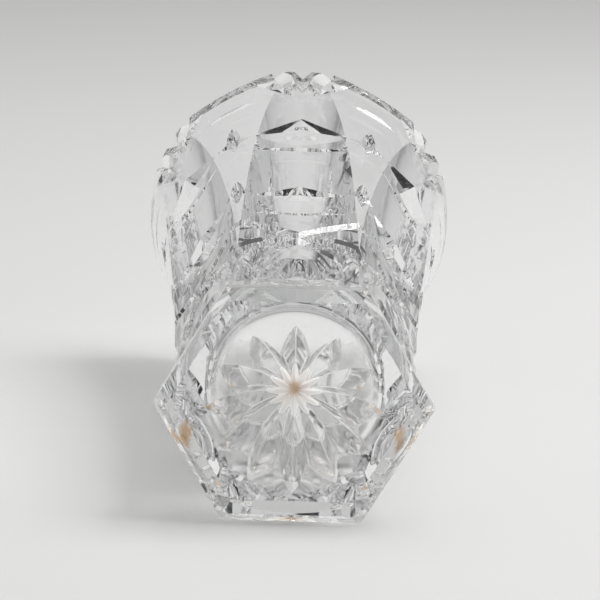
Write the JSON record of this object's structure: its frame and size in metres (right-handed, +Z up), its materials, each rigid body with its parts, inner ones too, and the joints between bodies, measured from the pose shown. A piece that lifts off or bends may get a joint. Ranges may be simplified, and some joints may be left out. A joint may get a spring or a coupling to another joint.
{
  "type": "cut crystal vase",
  "caption": "Tall flared vase of clear cut crystal on a hexagonal foot, with arches, niches and mitre cuts, a fan-cut rim and a petalled star hollowed under the foot; holds flowers in water.",
  "frame": {"origin": "centre of the face that the foot rests on", "axes": "+Z up along the vase's axis; one of the six flat panels faces -Y and one corner points along +X"},
  "size_m": [0.102, 0.103, 0.21],
  "materials": {
    "crystal": "polished clear lead crystal, with a frosted star under the foot"
  },
  "bodies": {
    "root": {"crystal_vase": "crystal"}
  },
  "joints": []
}
